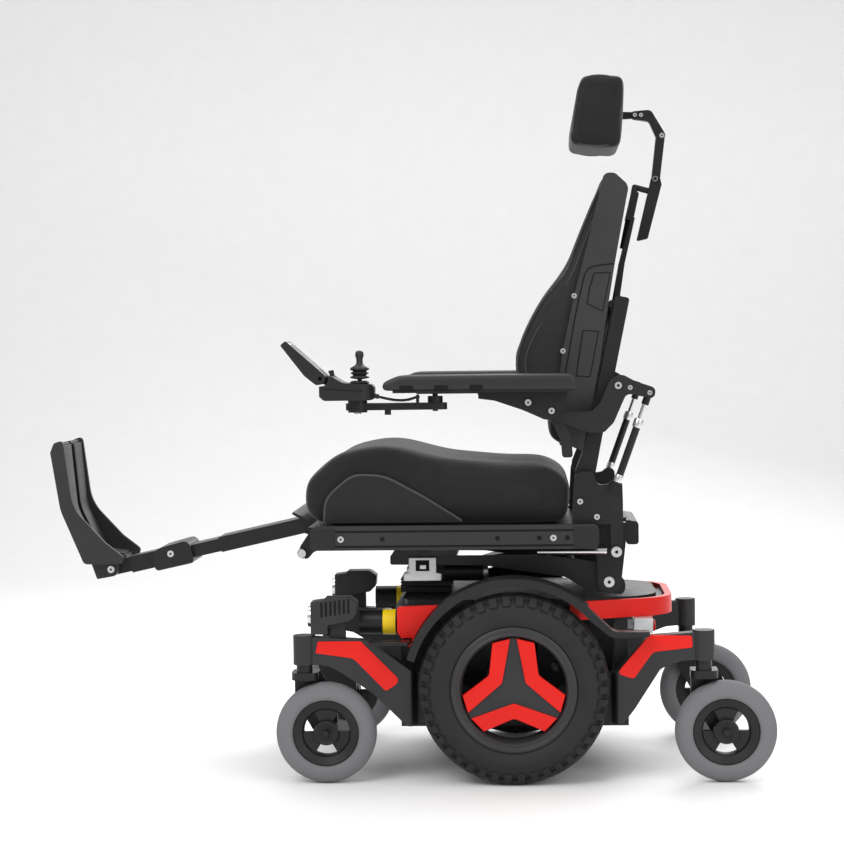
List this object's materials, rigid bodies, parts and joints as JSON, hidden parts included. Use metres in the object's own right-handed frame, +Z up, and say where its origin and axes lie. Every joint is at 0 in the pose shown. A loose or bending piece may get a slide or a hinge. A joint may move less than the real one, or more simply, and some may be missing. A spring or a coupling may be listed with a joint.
{
  "type": "power wheelchair",
  "caption": "Mid-wheel-drive power wheelchair with red-trimmed base, sprung casters, lifting, tilting and reclining seat, raised legrest, headrest and joystick.",
  "frame": {"origin": "on the floor, at the middle of the footprint (bottom centre of the bounding box)", "axes": "+X to the rear of the chair, so it faces -X; +Y to the user's right; +Z up"},
  "size_m": [1.3872, 0.636, 1.3286],
  "materials": {
    "black_steel": "satin black powder coat",
    "black_plastic": "matt black moulded plastic",
    "charcoal_plastic": "charcoal moulded plastic, light grain",
    "red_plastic": "bright red, semi gloss",
    "lens": "clear faceted lens",
    "tyre_rubber": "black tyre rubber",
    "caster_rubber": "grey rubber",
    "cover_fabric": "black stretch fabric",
    "cable_rubber": "black cable sheath"
  },
  "bodies": {
    "chassis": {"chassis_frame": "black_steel", "battery_pack": "black_plastic", "drive_motors": "black_steel", "base_cover": "black_plastic", "body_panels": "red_plastic", "fenders": "black_plastic", "rear_lamps": "lens", "lift_column": "black_steel"},
    "lift_stage": {"lift_stage": "black_steel"},
    "lift_carriage": {"lift_carriage": "black_steel"},
    "seat": {"seat_rails": "charcoal_plastic", "seat_pan": "black_steel", "seat_cushion": "cover_fabric", "cushion_bolsters": "cover_fabric", "cane_bases": "black_steel", "power_module": "black_plastic"},
    "back": {"back_canes": "black_steel", "back_shell": "charcoal_plastic", "back_cushion": "cover_fabric", "lateral_pads": "cover_fabric"},
    "headrest_post": {"headrest_post": "black_steel"},
    "headrest_link": {"headrest_link": "black_steel"},
    "headrest_arm": {"headrest_arm": "black_steel"},
    "headrest_pad": {"headrest_pad": "cover_fabric"},
    "joystick_arm": {"joystick_arm": "black_plastic", "joystick_base": "black_plastic", "joystick_cable": "cable_rubber"},
    "joystick_gimbal": {"joystick_gimbal": "black_plastic"},
    "joystick_stick": {"joystick_stick": "black_plastic"},
    "joystick_display": {"joystick_display": "black_plastic"},
    "legrest_tube": {"legrest_tube": "black_steel"},
    "legrest_lower": {"legrest_lower": "black_steel"},
    "drive_wheel_left": {"drive_tyre_left": "tyre_rubber", "drive_rim_left": "charcoal_plastic"},
    "front_arm_left": {"front_arm_left": "charcoal_plastic", "headlight_left": "black_plastic"},
    "front_fork_left": {"front_fork_left": "black_steel"},
    "front_caster_left": {"front_caster_left": "caster_rubber"},
    "rear_arm_left": {"rear_arm_left": "charcoal_plastic"},
    "rear_fork_left": {"rear_fork_left": "black_steel"},
    "rear_caster_left": {"rear_caster_left": "caster_rubber"},
    "arm_carrier_left": {"arm_carrier_left": "charcoal_plastic"},
    "armrest_left": {"armrest_left": "black_steel", "arm_pad_left": "charcoal_plastic"},
    "arm_strut_left": {"arm_strut_left": "black_steel"},
    "footplate_left": {"footplate_left": "black_plastic"},
    "drive_wheel_right": {"drive_tyre_right": "tyre_rubber", "drive_rim_right": "charcoal_plastic"},
    "front_arm_right": {"front_arm_right": "charcoal_plastic", "headlight_right": "black_plastic"},
    "front_fork_right": {"front_fork_right": "black_steel"},
    "front_caster_right": {"front_caster_right": "caster_rubber"},
    "rear_arm_right": {"rear_arm_right": "charcoal_plastic"},
    "rear_fork_right": {"rear_fork_right": "black_steel"},
    "rear_caster_right": {"rear_caster_right": "caster_rubber"},
    "arm_carrier_right": {"arm_carrier_right": "charcoal_plastic"},
    "armrest_right": {"armrest_right": "black_steel", "arm_pad_right": "charcoal_plastic"},
    "arm_strut_right": {"arm_strut_right": "black_steel"},
    "footplate_right": {"footplate_right": "black_plastic"}
  },
  "joints": [
    {"name": "drive_wheel_left_spin", "type": "hinge", "parent": "chassis", "child": "drive_wheel_left", "pos_m": [0.20735, -0.269, 0.178], "axis": [0, 1, 0], "continuous": true},
    {"name": "front_arm_left_lift", "type": "hinge", "parent": "chassis", "child": "front_arm_left", "pos_m": [0.10235, -0.21, 0.15], "axis": [0, 1, 0], "range_deg": [0, 5], "stiffness_Nm_per_rad": 400, "springref_deg": -25.78},
    {"name": "front_fork_left_swivel", "type": "hinge", "parent": "front_arm_left", "child": "front_fork_left", "pos_m": [-0.18465, -0.25, 0.24], "axis": [0, 0, 1], "continuous": true},
    {"name": "front_caster_left_spin", "type": "hinge", "parent": "front_fork_left", "child": "front_caster_left", "pos_m": [-0.14465, -0.25, 0.0943], "axis": [0, 1, 0], "continuous": true},
    {"name": "rear_arm_left_lift", "type": "hinge", "parent": "chassis", "child": "rear_arm_left", "pos_m": [0.31235, -0.21, 0.15], "axis": [0, -1, 0], "range_deg": [0, 5], "stiffness_Nm_per_rad": 400, "springref_deg": -25.78},
    {"name": "rear_fork_left_swivel", "type": "hinge", "parent": "rear_arm_left", "child": "rear_fork_left", "pos_m": [0.55935, -0.25, 0.24], "axis": [0, 0, 1], "continuous": true},
    {"name": "rear_caster_left_spin", "type": "hinge", "parent": "rear_fork_left", "child": "rear_caster_left", "pos_m": [0.59935, -0.25, 0.0943], "axis": [0, 1, 0], "continuous": true},
    {"name": "drive_wheel_right_spin", "type": "hinge", "parent": "chassis", "child": "drive_wheel_right", "pos_m": [0.20735, 0.269, 0.178], "axis": [0, 1, 0], "continuous": true},
    {"name": "front_arm_right_lift", "type": "hinge", "parent": "chassis", "child": "front_arm_right", "pos_m": [0.10235, 0.21, 0.15], "axis": [0, 1, 0], "range_deg": [0, 5], "stiffness_Nm_per_rad": 400, "springref_deg": -25.78},
    {"name": "front_fork_right_swivel", "type": "hinge", "parent": "front_arm_right", "child": "front_fork_right", "pos_m": [-0.18465, 0.25, 0.24], "axis": [0, 0, 1], "continuous": true},
    {"name": "front_caster_right_spin", "type": "hinge", "parent": "front_fork_right", "child": "front_caster_right", "pos_m": [-0.14465, 0.25, 0.0943], "axis": [0, 1, 0], "continuous": true},
    {"name": "rear_arm_right_lift", "type": "hinge", "parent": "chassis", "child": "rear_arm_right", "pos_m": [0.31235, 0.21, 0.15], "axis": [0, -1, 0], "range_deg": [0, 5], "stiffness_Nm_per_rad": 400, "springref_deg": -25.78},
    {"name": "rear_fork_right_swivel", "type": "hinge", "parent": "rear_arm_right", "child": "rear_fork_right", "pos_m": [0.55935, 0.25, 0.24], "axis": [0, 0, 1], "continuous": true},
    {"name": "rear_caster_right_spin", "type": "hinge", "parent": "rear_fork_right", "child": "rear_caster_right", "pos_m": [0.59935, 0.25, 0.0943], "axis": [0, 1, 0], "continuous": true},
    {"name": "lift_stage_slide", "type": "slide", "parent": "chassis", "child": "lift_stage", "axis": [0, 0, 1], "range_m": [0, 0.15]},
    {"name": "lift_carriage_slide", "type": "slide", "parent": "lift_stage", "child": "lift_carriage", "axis": [0, 0, 1], "range_m": [0, 0.15]},
    {"name": "seat_tilt", "type": "hinge", "parent": "lift_carriage", "child": "seat", "pos_m": [0.38835, 0, 0.364], "axis": [0, 1, 0], "range_deg": [0, 45]},
    {"name": "back_recline", "type": "hinge", "parent": "seat", "child": "back", "pos_m": [0.34235, 0, 0.561], "axis": [0, 1, 0], "range_deg": [-5, 50]},
    {"name": "arm_carrier_left_pivot", "type": "hinge", "parent": "back", "child": "arm_carrier_left", "pos_m": [0.40635, -0.238, 0.737], "axis": [0, 1, 0], "range_deg": [-50, 5]},
    {"name": "arm_strut_left_pivot", "type": "hinge", "parent": "seat", "child": "arm_strut_left", "pos_m": [0.40035, -0.2205, 0.547], "axis": [0, 1, 0], "range_deg": [-5, 50]},
    {"name": "armrest_left_flip", "type": "hinge", "parent": "arm_carrier_left", "child": "armrest_left", "pos_m": [0.28235, -0.26, 0.692], "axis": [0, 1, 0], "range_deg": [0, 90]},
    {"name": "arm_carrier_right_pivot", "type": "hinge", "parent": "back", "child": "arm_carrier_right", "pos_m": [0.40635, 0.238, 0.737], "axis": [0, 1, 0], "range_deg": [-50, 5]},
    {"name": "arm_strut_right_pivot", "type": "hinge", "parent": "seat", "child": "arm_strut_right", "pos_m": [0.40035, 0.2205, 0.547], "axis": [0, 1, 0], "range_deg": [-5, 50]},
    {"name": "armrest_right_flip", "type": "hinge", "parent": "arm_carrier_right", "child": "armrest_right", "pos_m": [0.28235, 0.26, 0.692], "axis": [0, 1, 0], "range_deg": [0, 90]},
    {"name": "headrest_height", "type": "slide", "parent": "back", "child": "headrest_post", "axis": [0.2055, 0, 0.9786], "range_m": [0, 0.06]},
    {"name": "headrest_lower_pivot", "type": "hinge", "parent": "headrest_post", "child": "headrest_link", "pos_m": [0.49035, 0, 1.135], "axis": [0, 1, 0], "range_deg": [-10, 25]},
    {"name": "headrest_upper_pivot", "type": "hinge", "parent": "headrest_link", "child": "headrest_arm", "pos_m": [0.50435, 0, 1.219], "axis": [0, 1, 0], "range_deg": [-12, 25]},
    {"name": "headrest_pad_tilt", "type": "hinge", "parent": "headrest_arm", "child": "headrest_pad", "pos_m": [0.45235, 0, 1.26], "axis": [0, 1, 0], "range_deg": [-12, 15]},
    {"name": "joystick_swing", "type": "hinge", "parent": "armrest_left", "child": "joystick_arm", "pos_m": [0.06735, -0.263, 0.7], "axis": [0, 0, 1], "range_deg": [0, 90]},
    {"name": "joystick_fore_aft", "type": "hinge", "parent": "joystick_arm", "child": "joystick_gimbal", "pos_m": [-0.07165, -0.272, 0.734], "axis": [0, 1, 0], "range_deg": [-12, 12], "stiffness_Nm_per_rad": 0.4},
    {"name": "joystick_side", "type": "hinge", "parent": "joystick_gimbal", "child": "joystick_stick", "pos_m": [-0.07165, -0.272, 0.734], "axis": [1, 0, 0], "range_deg": [-12, 12], "stiffness_Nm_per_rad": 0.4},
    {"name": "display_tilt", "type": "hinge", "parent": "joystick_arm", "child": "joystick_display", "pos_m": [-0.14165, -0.272, 0.757], "axis": [0, 1, 0], "range_deg": [-10, 12]},
    {"name": "legrest_lift", "type": "hinge", "parent": "seat", "child": "legrest_tube", "pos_m": [-0.19265, 0, 0.468], "axis": [0, 1, 0], "range_deg": [-72, 4]},
    {"name": "legrest_length", "type": "slide", "parent": "legrest_tube", "child": "legrest_lower", "axis": [-0.9767, 0, -0.2147], "range_m": [0, 0.05]},
    {"name": "footplate_left_flip", "type": "hinge", "parent": "legrest_lower", "child": "footplate_left", "pos_m": [-0.59016, -0.02, 0.3806], "axis": [0, 1, 0], "range_deg": [0, 60]},
    {"name": "footplate_right_flip", "type": "hinge", "parent": "legrest_lower", "child": "footplate_right", "pos_m": [-0.59016, 0.02, 0.3806], "axis": [0, 1, 0], "range_deg": [0, 60]}
  ],
  "couplings": [
    {"joint": "lift_carriage_slide", "follows": "lift_stage_slide", "ratio": 1},
    {"joint": "arm_carrier_left_pivot", "follows": "back_recline", "ratio": -1},
    {"joint": "arm_strut_left_pivot", "follows": "back_recline", "ratio": 1},
    {"joint": "arm_carrier_right_pivot", "follows": "back_recline", "ratio": -1},
    {"joint": "arm_strut_right_pivot", "follows": "back_recline", "ratio": 1}
  ]
}
